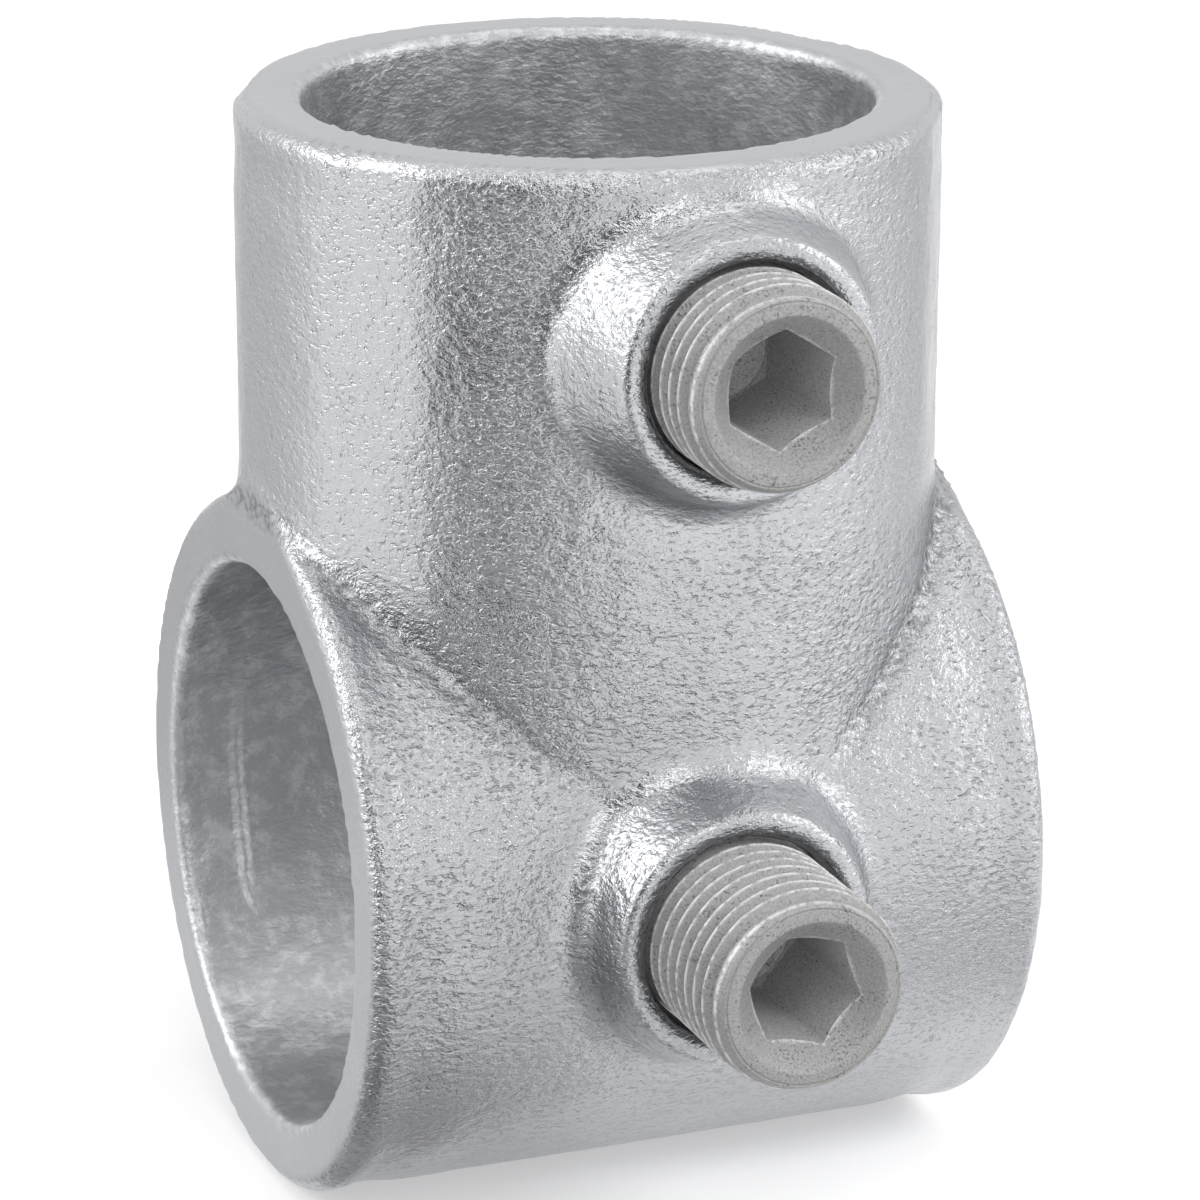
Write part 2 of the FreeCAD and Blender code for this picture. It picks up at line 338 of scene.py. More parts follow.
CARDS = {
    "card_at_foot": (0.14, on_table(-92, -18, 41, 80)),
    "card_under_left": (0.42, on_table(-75, -4, 26, 40)),
    "card_before_sleeve": (0.42, on_table(-10, 60, 46, 76)),
    "card_upright": (0.05, [(-66, 430, low), (-22, 430, low), (-22, 430, 260), (-66, 430, 260)]),
    "card_above": (0.11, [(-80, 760, 420), (60, 760, 420), (60, 420, 800), (-80, 420, 800)]),
    "card_behind_left": (0.62, on_table(-178, -118, 85, CARD_REACH)),
    "card_right": (0.64, on_table(60, 125, 150, CARD_REACH)),
}
for name, (shade, corners) in CARDS.items():
    dark_card(name, shade, corners)
print("dark cards shape the reflections")

# %% [markdown]
# Four big lamps give the soft light. A large lamp close by makes soft shadows and broad
# highlights. Each one's power is kept low enough for the palest metal to keep its detail.
# A fifth one reaches into the key sockets, and leaves no highlight on the zinc.

# %% Lamps
LAMP_AIM = mm(0, 0, 20)
# Each lamp's direction round the fitting and upwards in degrees, its distance, size and power.
LAMPS = {
    "lamp_overhead": (10, 72, 700, 700, 1.9),
    "lamp_right": (66, 24, 620, 380, 0.8),
    "lamp_left": (-104, 30, 620, 420, 1.45),
    "lamp_front": (-30, 30, 700, 400, 0.9),
    "lamp_into_sockets": (26, 40, 700, 240, 1.8),
}


def soft_lamp(name, azimuth, elevation, away, size_across, power):
    """A square lamp that looks at the fitting's middle."""
    towards_lamp = outwards(math.radians(azimuth), math.radians(elevation))
    light = bpy.data.lights.new(name, "AREA")
    light.shape = "SQUARE"
    light.size = mm(size_across)
    light.energy = power
    lamp = new_object(name, light)
    lamp.location = LAMP_AIM + mm(away) * towards_lamp
    lamp.rotation_mode = "QUATERNION"
    lamp.rotation_quaternion = (-towards_lamp).to_track_quat("-Z", "Y")
    return lamp


lamps = {name: soft_lamp(name, *values) for name, values in LAMPS.items()}
lamps["lamp_into_sockets"].visible_glossy = False
print(len(lamps), "soft lamps")

# %% [markdown]
# ## The casting's skin
#
# Molten iron takes the grain of its sand mould, and the zinc coat then runs over it in small
# beads. The coarse part of that relief is real geometry, so it shows in the outline too.
# The solid's mesh has long thin triangles that can't carry it, so a copy is first covered
# with even squares by a voxel remesh, and a shrinkwrap puts them back on the true surface.

# %% An even skin
SKIN_SQUARE = 0.51
MERGE_DISTANCE = 1e-6


def merged_copy(node_name, piece_name):
    """A free copy of a solid's mesh with its loose triangles joined."""
    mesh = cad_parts[node_name].data.copy()
    shape = bmesh.new()
    shape.from_mesh(mesh)
    bmesh.ops.remove_doubles(shape, verts=shape.verts, dist=MERGE_DISTANCE)
    shape.to_mesh(mesh)
    shape.free()
    mesh.materials.clear()
    return new_object(piece_name, mesh)


def baked(piece, name):
    """A plain object made from a piece with all its modifiers applied, in the piece's place."""
    bpy.context.view_layer.update()
    depsgraph = bpy.context.evaluated_depsgraph_get()
    mesh = bpy.data.meshes.new_from_object(piece.evaluated_get(depsgraph))
    mesh.name = name
    result = new_object(name, mesh)
    bpy.data.objects.remove(piece)
    return result


def triangle_count(piece):
    """How many triangles a piece's faces come to."""
    return sum(len(face.vertices) - 2 for face in piece.data.polygons)


true_surface = merged_copy("cast_tee", "true_surface")
skin = merged_copy("cast_tee", "even_skin")
squares = skin.modifiers.new("even_squares", "REMESH")
squares.mode = "VOXEL"
squares.voxel_size = mm(SKIN_SQUARE)
wrap = skin.modifiers.new("back_to_surface", "SHRINKWRAP")
wrap.target = true_surface
wrap.wrap_method = "NEAREST_SURFACEPOINT"
skin = baked(skin, "even_skin")
bpy.data.objects.remove(true_surface)
print("even skin:", len(skin.data.polygons), "squares of", SKIN_SQUARE, "mm")

# %% [markdown]
# Geometry Nodes shape the casting and the threads. Both trees are made with the same helpers:
# each has named inputs, and ends in real meshes with their material.

# %% Geometry Nodes helpers
NOISE_ROUGHNESS = 0.55


def new_geometry_tree(name, inputs):
    """A Geometry Nodes tree with a mesh going through, and named number inputs."""
    tree = bpy.data.node_groups.new(name, "GeometryNodeTree")
    mesh_socket = {"name": "Geometry", "socket_type": "NodeSocketGeometry"}
    tree.interface.new_socket(in_out="INPUT", **mesh_socket)
    for label in inputs:
        tree.interface.new_socket(name=label, in_out="INPUT", socket_type="NodeSocketFloat")
    tree.interface.new_socket(in_out="OUTPUT", **mesh_socket)
    return tree, add_node(tree, "NodeGroupInput").outputs


def finish_geometry_tree(tree, geometry, material):
    """Real meshes only, with their material, at the end of the tree."""
    real = add_node(tree, "GeometryNodeRealizeInstances", {"Geometry": geometry})
    inputs = {"Geometry": real.outputs[0], "Material": material}
    dressed = add_node(tree, "GeometryNodeSetMaterial", inputs)
    add_node(tree, "NodeGroupOutput", {0: dressed.outputs[0]})


def run_geometry_tree(piece, tree, values):
    """Add the tree to a piece as a modifier, with each input set by its socket's identifier."""
    modifier = piece.modifiers.new(tree.name, "NODES")
    modifier.node_group = tree
    for socket in tree.interface.items_tree:
        if socket.name in values:
            modifier[socket.identifier] = float(values[socket.name])


def coordinates(tree):
    """The place of each point, and its three coordinates."""
    place = add_node(tree, "GeometryNodeInputPosition").outputs[0]
    split = add_node(tree, "ShaderNodeSeparateXYZ", {0: place}).outputs
    return place, split["X"], split["Y"], split["Z"]


def store(tree, geometry, marks):
    """Keep numbers on every point of the mesh, each under its name."""
    for name, value in marks.items():
        inputs = {"Geometry": geometry, "Name": name, "Value": value}
        kept = {"data_type": "FLOAT", "domain": "POINT"}
        geometry = add_node(tree, "GeometryNodeStoreNamedAttribute", inputs, **kept).outputs[0]
    return geometry


def noise_value(tree, place, grain, detail, seed):
    """A seeded noise, with grains of about the given size in millimetres."""
    size = {"Scale": maths(tree, "DIVIDE", 1.0 / MM, grain), "Detail": detail}
    inputs = {"Vector": place, "W": seed, "Roughness": NOISE_ROUGHNESS, **size}
    return add_node(tree, "ShaderNodeTexNoise", inputs, noise_dimensions="4D").outputs[0]


# %% [markdown]
# The casting's tree presses the skin inwards, never outwards, so the fitting keeps its size:
# by a noise, by a shallow hollow behind each end, which leaves a low lip there, and by a
# groove where the socket meets the sleeve. Both tubes are equally thick, so that valley lies
# in the planes where the height equals the width, and runs out before it reaches the lower
# boss or the middle of the back. The lengths below are where each form starts and stops.

# %% Cast relief, as Geometry Nodes
SLEEVE_HALF, SOCKET_TOP = cad_box[1].x / MM, cad_box[1].z / MM
SLEEVE_BORE, SOCKET_BORE = 18.0, 17.9
UPPER_SCREW_HEIGHT = 36.1
SWELL_SPREAD, SWELL_SEED = 4.0, 7.0
# Along a tube, from its end.
HOLLOW_STARTS, HOLLOW_STOPS = (-6.5, -3.4), (-3.0, -1.5)
BORE_MARGIN, SOCKET_LIP_SHARE = 2.0, 0.4
# Along Y, behind the bosses.
BEHIND_BOSSES = (-16.0, -15.0)
# From the valley's plane, from the lower screw's axis, and from the sleeve's axis.
VALLEY_WIDTH, VALLEY_STARTS, VALLEY_OUTSIDE = (0.3, 1.7), (10.5, 18.0), (20.5, 21.5)
VALLEY_LONGER_BEHIND = 6.0


def past(end, span):
    """A span that is measured from an end, in the tube's own coordinate."""
    return end + span[0], end + span[1]


def hollow_behind(tree, along, end, from_axis, bore):
    """One in the hollow behind an end's lip, outside the bore, and nought elsewhere."""
    starts = rise(tree, along, past(end, HOLLOW_STARTS))
    stops = fall(tree, along, past(end, HOLLOW_STOPS))
    outside = maths(tree, "GREATER_THAN", from_axis, mm(bore + BORE_MARGIN))
    return joined(tree, "MULTIPLY", starts, stops, outside)


relief_inputs = ["Depth", "Grain", "Swell", "Lip", "Valley", "Seed"]
tree, given = new_geometry_tree("cast_relief", relief_inputs)
place, x, y, z = coordinates(tree)
grain = noise_value(tree, place, given["Grain"], detail=2.0, seed=given["Seed"])
swell_size = maths(tree, "MULTIPLY", given["Grain"], SWELL_SPREAD)
swell_seed = maths(tree, "ADD", given["Seed"], SWELL_SEED)
swell = noise_value(tree, place, swell_size, detail=1.0, seed=swell_seed)
grain_depth = maths(tree, "MULTIPLY", grain, given["Depth"])
relief = maths(tree, "ADD", grain_depth, maths(tree, "MULTIPLY", swell, given["Swell"]))

from_sleeve_axis = distance_from_axis(tree, y, z)
from_socket_axis = distance_from_axis(tree, x, y)
width = maths(tree, "ABSOLUTE", x)
sleeve_hollow = hollow_behind(tree, width, SLEEVE_HALF, from_sleeve_axis, SLEEVE_BORE)
socket_hollow = hollow_behind(tree, z, SOCKET_TOP, from_socket_axis, SOCKET_BORE)
socket_hollow = maths(tree, "MULTIPLY", socket_hollow, SOCKET_LIP_SHARE)
hollow = maths(tree, "MAXIMUM", sleeve_hollow, socket_hollow)
relief = maths(tree, "MULTIPLY_ADD", hollow, given["Lip"], relief)

lower_hole = distance_from_axis(tree, x, z)
upper_hole = distance_from_axis(tree, x, maths(tree, "SUBTRACT", z, mm(UPPER_SCREW_HEIGHT)))
nearest_hole = maths(tree, "MINIMUM", lower_hole, upper_hole)
behind = rise(tree, y, BEHIND_BOSSES)
from_valley = maths(tree, "ABSOLUTE", maths(tree, "SUBTRACT", z, width))
in_valley = fall(tree, from_valley, VALLEY_WIDTH)
from_middle = maths(tree, "MULTIPLY_ADD", behind, mm(VALLEY_LONGER_BEHIND), lower_hole)
outside = rise(tree, from_sleeve_axis, VALLEY_OUTSIDE)
starts = rise(tree, from_middle, VALLEY_STARTS)
in_valley = joined(tree, "MULTIPLY", starts, outside, in_valley)
relief = maths(tree, "MULTIPLY_ADD", in_valley, given["Valley"], relief)

# %% [markdown]
# The relief fades out at the machined screw holes, and is weaker on the trimmed ends. The tree
# also marks the bore walls, the ends, the valley and the calm places, where the coat runs
# smoother, for the material to use. The marks are stored before the push, on the true surface.

# %% Where the relief is weaker, and marks for the coat
HOLE_EDGE = (6.6, 7.4)
END_FACE, END_DAMPING = (-0.15, -0.02), 0.65
BORE_SKIN = 0.45
# From a screw's axis, across, and up.
BOSS_FADES, SIDE_RISES, SIDE_ABOVE, FOOT_FADES = (10.0, 15.0), (9.0, 17.0), (16.0, 24.0), (-16.0, -8.0)

off_hole = maths(tree, "MAXIMUM", rise(tree, nearest_hole, HOLE_EDGE), behind)
sleeve_end = rise(tree, width, past(SLEEVE_HALF, END_FACE))
socket_end = rise(tree, z, past(SOCKET_TOP, END_FACE))
on_end = maths(tree, "MAXIMUM", sleeve_end, socket_end)
end_damping = one_minus(tree, maths(tree, "MULTIPLY", on_end, END_DAMPING))
inwards = joined(tree, "MULTIPLY", off_hole, end_damping, relief, -MM)
normal = add_node(tree, "GeometryNodeInputNormal").outputs[0]
push_inputs = {0: normal, "Scale": inwards}
push = add_node(tree, "ShaderNodeVectorMath", push_inputs, operation="SCALE").outputs[0]

in_sleeve = maths(tree, "LESS_THAN", from_sleeve_axis, mm(SLEEVE_BORE + BORE_SKIN))
in_socket = maths(tree, "LESS_THAN", from_socket_axis, mm(SOCKET_BORE + BORE_SKIN))
in_socket = maths(tree, "MULTIPLY", in_socket, maths(tree, "GREATER_THAN", z, 0.0))
near_boss = fall(tree, nearest_hole, BOSS_FADES)
on_boss = maths(tree, "MULTIPLY", near_boss, one_minus(tree, behind))
on_side = maths(tree, "MULTIPLY", rise(tree, width, SIDE_RISES), rise(tree, z, SIDE_ABOVE))
low_down = fall(tree, z, FOOT_FADES)
marked = store(tree, given["Geometry"], {
    "bore_wall": maths(tree, "MAXIMUM", in_sleeve, in_socket),
    "trimmed_end": on_end,
    "sleeve_end": sleeve_end,
    "valley": in_valley,
    "calm": joined(tree, "MAXIMUM", on_boss, on_side, low_down),
})
pressed = add_node(tree, "GeometryNodeSetPosition", {"Geometry": marked, "Offset": push}).outputs[0]
zinc, zinc_tree = new_material("galvanised_zinc")
finish_geometry_tree(tree, pressed, zinc)

run_geometry_tree(skin, tree, {
    "Depth": 0.14,
    "Grain": 1.5,
    "Swell": 0.16,
    "Lip": 0.25,
    "Valley": 0.26,
    "Seed": 3.0,
})
casting = baked(skin, "galvanised_casting")
casting.data.shade_smooth()
print("casting:", triangle_count(casting), "triangles")

# %% [markdown]
# ## The zinc coat
#
# Hot-dip zinc is a bright metal that runs smooth over the sand grain and leaves small pits.
# They are far smaller than the skin's squares, so a bump pattern makes them. Its height is
# in millimetres: soft waves, beads and grit, less the pits, which crowd together in places.
# Beads and pits are wider than high. First come helpers that both metals use.

# %% Metal helpers
def shade_noise(tree, place, grain, detail, roughness=NOISE_ROUGHNESS):
    """A noise for a material, with grains of about the given size in millimetres."""
    inputs = {"Vector": place, "Scale": 1.0 / mm(grain), "Detail": detail, "Roughness": roughness}
    return add_node(tree, "ShaderNodeTexNoise", inputs).outputs[0]


def mark(tree, name):
    """A number that was stored on the mesh."""
    return add_node(tree, "ShaderNodeAttribute", attribute_name=name).outputs["Fac"]


def mixed_colour(tree, factor, first, second):
    """A colour between two others."""
    node = add_node(tree, "ShaderNodeMix", data_type="RGBA")
    colour_sockets = {socket.name: socket for socket in node.inputs if socket.type == "RGBA"}
    feed(tree, node.inputs[0], factor)
    feed(tree, colour_sockets["A"], first)
    feed(tree, colour_sockets["B"], second)
    return next(socket for socket in node.outputs if socket.type == "RGBA")


def finish_metal(tree, colour, metallic, roughness, height, strength):
    """A metal surface, with a bump whose height is in millimetres, at the end of the tree."""
    bump_inputs = {"Height": height, "Strength": strength, "Distance": mm(1.0)}
    bump = add_node(tree, "ShaderNodeBump", bump_inputs)
    metal = add_node(tree, "ShaderNodeBsdfPrincipled", {
        "Base Color": colour,
        "Metallic": metallic,
        "Roughness": roughness,
        "Normal": bump.outputs[0],
    })
    add_node(tree, "ShaderNodeOutputMaterial", {"Surface": metal.outputs[0]})


# %% Zinc relief
WAVE_GRAIN, WAVE_HEIGHT = 2.2, 0.12
BEAD_GRAIN, BEAD_HEIGHT = 0.70, 0.24
GRIT_GRAIN, GRIT_HEIGHT = 0.30, 0.04
PIT_GRAIN, PIT_DEPTH, FLATNESS = 0.46, 0.07, 1.6
PIT_PATCHES, FEW_PITS, MANY_PITS, PIT_EDGE = (0.36, 0.62), 0.58, 0.50, 0.20

place = object_place(zinc_tree)
flattening = {0: place, 1: (1.0, 1.0, FLATNESS)}
flattened = add_node(zinc_tree, "ShaderNodeVectorMath", flattening, operation="MULTIPLY").outputs[0]
waves = shade_noise(zinc_tree, place, WAVE_GRAIN, detail=1.0)
beads = shade_noise(zinc_tree, flattened, BEAD_GRAIN, detail=3.0, roughness=0.6)
grit = shade_noise(zinc_tree, place, GRIT_GRAIN, detail=2.0)
pit_field = shade_noise(zinc_tree, flattened, PIT_GRAIN, detail=2.0)
patches = shade_noise(zinc_tree, place, grain=8.0, detail=2.0)
clouds = shade_noise(zinc_tree, place, grain=1.6, detail=5.0, roughness=0.70)
bore_wall, trimmed_end = mark(zinc_tree, "bore_wall"), mark(zinc_tree, "trimmed_end")
smooth_place = maths(zinc_tree, "MAXIMUM", bore_wall, trimmed_end)
calm = mark(zinc_tree, "calm")

pit_start = blend_range(zinc_tree, patches, *PIT_PATCHES, FEW_PITS, MANY_PITS)
pit_full = maths(zinc_tree, "ADD", pit_start, PIT_EDGE)
pits = blend_range(zinc_tree, pit_field, pit_start, pit_full)
pits = maths(zinc_tree, "MULTIPLY", pits, one_minus(zinc_tree, smooth_place))
height = maths(zinc_tree, "MULTIPLY", waves, WAVE_HEIGHT)
for pattern, pattern_height in ((beads, BEAD_HEIGHT), (grit, GRIT_HEIGHT), (pits, -PIT_DEPTH)):
    height = maths(zinc_tree, "MULTIPLY_ADD", pattern, pattern_height, height)

# %% [markdown]
# Inside the bores the coat is smoother, and paler in clouds that are partly its own tone and
# partly painted light. The back of the sleeve's bore has a faint ridge with a painted highlight
# along it. It stands across the sleeve, wanders a little, and fades at both ends.

# %% A faint ridge in the sleeve's bore
RIDGE_PLACE, RIDGE_WIDTH, RIDGE_WANDER = -17.2, 0.6, 1.8
RIDGE_STARTS, RIDGE_STOPS, RIDGE_HEIGHT = (-15.0, -6.0), (-2.0, 7.0), 0.26

split = add_node(zinc_tree, "ShaderNodeSeparateXYZ", {0: place}).outputs
wandering = maths(zinc_tree, "MULTIPLY_ADD", patches, mm(RIDGE_WANDER), split["X"])
away = maths(zinc_tree, "ABSOLUTE", maths(zinc_tree, "SUBTRACT", wandering, mm(RIDGE_PLACE)))
at_back = maths(zinc_tree, "MULTIPLY", bore_wall, maths(zinc_tree, "GREATER_THAN", split["Y"], 0.0))
above_start = rise(zinc_tree, split["Z"], RIDGE_STARTS)
below_stop = fall(zinc_tree, split["Z"], RIDGE_STOPS)
across_ridge = fall(zinc_tree, away, (0.0, RIDGE_WIDTH))
ridge = joined(zinc_tree, "MULTIPLY", above_start, below_stop, at_back, across_ridge)
height = maths(zinc_tree, "MULTIPLY_ADD", ridge, RIDGE_HEIGHT, height)

# %% [markdown]
# The coat is paler in cloud-like patches in the bores, partly its own tone and partly painted
# light, and a painted highlight runs along the bore's ridge. Painted shade darkens the pits,
# the sleeve's sawn ends, and most of all the valley, where it is strongest between the beads.

# %% Zinc material
ZINC_BRIGHT = (0.485, 0.493, 0.510, 1)
# Paler zinc: partly the coat's own clouds and partly painted light, and the ridge's painted highlight.
ZINC_CLOUD_AND_PAINTED_LIGHT = (0.64, 0.647, 0.66, 1)
# Painted shade, for the pits, the sleeve's end faces and the valley.
ZINC_PAINTED_SHADE = (0.10, 0.102, 0.107, 1)
# Ranges for the bore's clouds, the ridge's painted highlight and the valley's painted shade.
CLOUD_RANGE, RIDGE_HIGHLIGHT_BEADS, VALLEY_SHADE_BEADS = (0.45, 0.66), (0.38, 0.6), (0.36, 0.6)
# The last number here is the painted shade on the sleeve's end faces.
LEAST_RIDGE_HIGHLIGHT, MOST_VALLEY_SHADE, LEAST_VALLEY_SHADE, END_PAINTED_SHADE = 0.2, 0.65, 0.15, 0.10
# Painted shade in the pits, and how much less of it the calm places get.
PIT_PAINTED_SHADE, CALM_PIT_LOSS = 0.28, -0.14
SHINE_PATCHES, FINEST_SHINE, COARSEST_SHINE, SMOOTH_EXTRA = (0.35, 0.65), 0.24, 0.3, 0.18
SMOOTH_RELIEF_LOSS, CALM_RELIEF_LOSS = -0.55, -0.4

# Pale clouds in the bores, partly the coat's own tone and partly painted light.
cloud_and_painted_light = maths(zinc_tree, "MULTIPLY", bore_wall, blend_range(zinc_tree, clouds, *CLOUD_RANGE))
# A painted highlight along the bore's ridge, broken up by the beads.
ridge_highlight = blend_range(zinc_tree, beads, *RIDGE_HIGHLIGHT_BEADS, LEAST_RIDGE_HIGHLIGHT, 1.0)
cloud_and_painted_light = maths(zinc_tree, "MAXIMUM", cloud_and_painted_light, maths(zinc_tree, "MULTIPLY", ridge, ridge_highlight))
# Painted shade in the pits, weaker in the calm places.
pit_painted_shade = maths(zinc_tree, "MULTIPLY_ADD", calm, CALM_PIT_LOSS, PIT_PAINTED_SHADE)
# Painted shade in the valley where the socket meets the sleeve, strongest between the beads.
valley_painted_shade = blend_range(zinc_tree, beads, *VALLEY_SHADE_BEADS, MOST_VALLEY_SHADE, LEAST_VALLEY_SHADE)
# All the zinc's painted shade: in the pits, on the sleeve's end faces and in the valley.
painted_shade = joined(
    zinc_tree,
    "MAXIMUM",
    maths(zinc_tree, "MULTIPLY", pits, pit_painted_shade),
    # Painted shade on the sleeve's end faces.
    maths(zinc_tree, "MULTIPLY", mark(zinc_tree, "sleeve_end"), END_PAINTED_SHADE),
    maths(zinc_tree, "MULTIPLY", mark(zinc_tree, "valley"), valley_painted_shade),
)
coat = mixed_colour(zinc_tree, cloud_and_painted_light, ZINC_BRIGHT, ZINC_CLOUD_AND_PAINTED_LIGHT)
shine = blend_range(zinc_tree, patches, *SHINE_PATCHES, FINEST_SHINE, COARSEST_SHINE)
relief_left = maths(
    zinc_tree,
    "MULTIPLY",
    maths(zinc_tree, "MULTIPLY_ADD", smooth_place, SMOOTH_RELIEF_LOSS, 1.0),
    maths(zinc_tree, "MULTIPLY_ADD", calm, CALM_RELIEF_LOSS, 1.0),
)
finish_metal(
    zinc_tree,
    colour=mixed_colour(zinc_tree, painted_shade, coat, ZINC_PAINTED_SHADE),
    metallic=1.0,
    roughness=maths(zinc_tree, "MULTIPLY_ADD", smooth_place, SMOOTH_EXTRA, shine),
    height=height,
    strength=relief_left,
)
print("zinc coat ready")

# %% [markdown]
# ## The set screws
#
# Both screws are the same turned part: a short threaded plug with a hexagon key socket at the
# outer end and a cupped point at the inner end. On a lathe, such a plug starts as a plain
# blank. Here too: a half outline is spun into a blank, and its thread is cut afterwards.

# %% Shaping helpers
LARGEST_CUT = 0.4
CURVE_SHARES = (0.0, 0.25, 0.5, 0.75, 1.0)


def eased_corner(before, corner, after, cut):
    """Points on the curve that takes a corner's place, from one cut to the other."""
    start = corner + (before - corner).normalized() * cut
    end = corner + (after - corner).normalized() * cut
    return [
        (1 - share) ** 2 * start + 2 * share * (1 - share) * corner + share ** 2 * end
        for share in CURVE_SHARES
    ]


def softened(outline, radius):
    """An outline of (distance from axis, depth) with its inner corners eased."""
    eased = [outline[0]]
    for before, corner, after in zip(outline, outline[1:], outline[2:]):
        before, corner, after = Vector(before), Vector(corner), Vector(after)
        longest = LARGEST_CUT * min((before - corner).length, (after - corner).length)
        eased += [tuple(point) for point in eased_corner(before, corner, after, min(radius, longest))]
    return eased + [outline[-1]]


def closed_piece(name, points, faces):
    """An object from points and faces that close a shape, with every face looking outwards."""
    mesh = bpy.data.meshes.new(name)
    mesh.from_pydata([tuple(point) for point in points], [], faces)
    shape = bmesh.new()
    shape.from_mesh(mesh)
    bmesh.ops.recalc_face_normals(shape, faces=shape.faces)
    shape.to_mesh(mesh)
    shape.free()
    return new_object(name, mesh)


# %% A turned blank
SCREW_RADIUS, SCREW_LENGTH = 6.4, 13.8
END_RADIUS, LEAD_IN = 5.75, 1.4
COUNTERSINK_RADIUS, COUNTERSINK_DEPTH = 4.83, 1.65
DRILL_RADIUS, DRILL_FLOOR, DRILL_TIP = 3.2, 10.9, 11.4
POINT_START, POINT_RADIUS = 12.0, 4.6
CUP_RADIUS, CUP_FLOOR = 3.9, 12.7
SPOKES = 180
FINE_STEP, PLAIN_STEP = 0.055, 0.3
END_FACE_DEPTH = 0.05
CORNER_SOFTNESS = 0.12


def divided(outline):
    """The outline with rings added, close together where the thread will be cut."""
    rings = [outline[0]]
    for start, end in zip(outline, outline[1:]):
        start, end = Vector(start), Vector(end)
        threaded = min(start.x, end.x) > POINT_RADIUS and max(start.y, end.y) > END_FACE_DEPTH
        count = max(1, round((end - start).length / (FINE_STEP if threaded else PLAIN_STEP)))
        rings += [tuple(start.lerp(end, step / count)) for step in range(1, count + 1)]
    return rings


def spun(name, rings):
    """A closed mesh from rings about the Y axis. The first and last ones are its two poles."""
    points = [mm(0, rings[0][1], 0)]
    for radius, depth in rings[1:-1]:
        for spoke in range(SPOKES):
            angle = math.tau * spoke / SPOKES
            points.append(mm(radius * math.cos(angle), depth, radius * math.sin(angle)))
    points.append(mm(0, rings[-1][1], 0))
    last = len(points) - 1
    faces = []
    for spoke in range(SPOKES):
        turn = (spoke + 1) % SPOKES
        faces.append((0, 1 + spoke, 1 + turn))
        faces.append((last, last - SPOKES + turn, last - SPOKES + spoke))
        for ring in range(len(rings) - 3):
            here, there = 1 + ring * SPOKES, 1 + (ring + 1) * SPOKES
            faces.append((here + spoke, there + spoke, there + turn, here + turn))
    return closed_piece(name, points, faces)


# The points close to the end's radius turn a fine ring into the edge of its face.
screw_outline = [
    (0.0, DRILL_TIP),
    (DRILL_RADIUS, DRILL_FLOOR),
    (DRILL_RADIUS, COUNTERSINK_DEPTH),
    (COUNTERSINK_RADIUS, 0.0),
    (END_RADIUS - 0.22, 0.04),
    (END_RADIUS - 0.14, 0.14),
    (END_RADIUS - 0.04, 0.06),
    (END_RADIUS + 0.12, 0.22),
    (SCREW_RADIUS - 0.2, LEAD_IN * 0.68),
    (SCREW_RADIUS, LEAD_IN),
    (SCREW_RADIUS, POINT_START),
    (POINT_RADIUS, SCREW_LENGTH),
    (CUP_RADIUS, SCREW_LENGTH),
    (0.0, CUP_FLOOR),
]
screw_rings = divided(softened(screw_outline, CORNER_SOFTNESS))
print("the blank has", len(screw_rings), "rings of", SPOKES, "points")

# %% [markdown]
# A thread repeats along a helix, so Geometry Nodes cut it. For each point, its depth in the
# screw and its angle say how far round the groove it is, and the point moves towards the axis
# as far as the groove goes there. The groove fades in near the screw's end.

# %% Thread, as Geometry Nodes
GROOVE_FLOOR = 0.94
POINT_MARGIN, WALL_MARGIN, SMALLEST_RADIUS = 0.3, 0.2, 0.1
CREST_FADES = (0.03, 0.16)
zinc_plate, plate_tree = new_material("matt_zinc_plate")

thread_inputs = ["Radius", "Pitch", "Groove Depth", "Crest Width", "Fade In"]
tree, given = new_geometry_tree("cut_thread", thread_inputs)
place, x, y, z = coordinates(tree)
radius = distance_from_axis(tree, x, z)
turns = maths(tree, "DIVIDE", maths(tree, "ARCTAN2", z, x), math.tau)
along = maths(tree, "DIVIDE", y, given["Pitch"])
phase = maths(tree, "FRACT", maths(tree, "SUBTRACT", along, turns))
from_middle = maths(tree, "SUBTRACT", maths(tree, "MULTIPLY", phase, 2.0), 1.0)
from_crest = one_minus(tree, maths(tree, "ABSOLUTE", from_middle))
flank_span = {"Value": from_crest, "From Min": given["Crest Width"], "From Max": GROOVE_FLOOR}
flank = add_node(tree, "ShaderNodeMapRange", flank_span).outputs[0]
faded = maths(tree, "MULTIPLY", blend_range(tree, y, 0.0, given["Fade In"]), given["Groove Depth"])
limit = maths(tree, "SUBTRACT", given["Radius"], maths(tree, "MULTIPLY", flank, faded))
kept = maths(tree, "MINIMUM", radius, limit)
outside = maths(tree, "GREATER_THAN", radius, mm(POINT_RADIUS + POINT_MARGIN))
ratio = maths(tree, "DIVIDE", kept, maths(tree, "MAXIMUM", radius, mm(SMALLEST_RADIUS)))
scale = maths(tree, "ADD", maths(tree, "MULTIPLY", outside, ratio), one_minus(tree, outside))
moved = add_node(tree, "ShaderNodeCombineXYZ", {
    "X": maths(tree, "MULTIPLY", x, scale),
    "Y": y,
    "Z": maths(tree, "MULTIPLY", z, scale),
}).outputs[0]
cut_inputs = {"Geometry": given["Geometry"], "Position": moved}
cut = add_node(tree, "GeometryNodeSetPosition", cut_inputs).outputs[0]

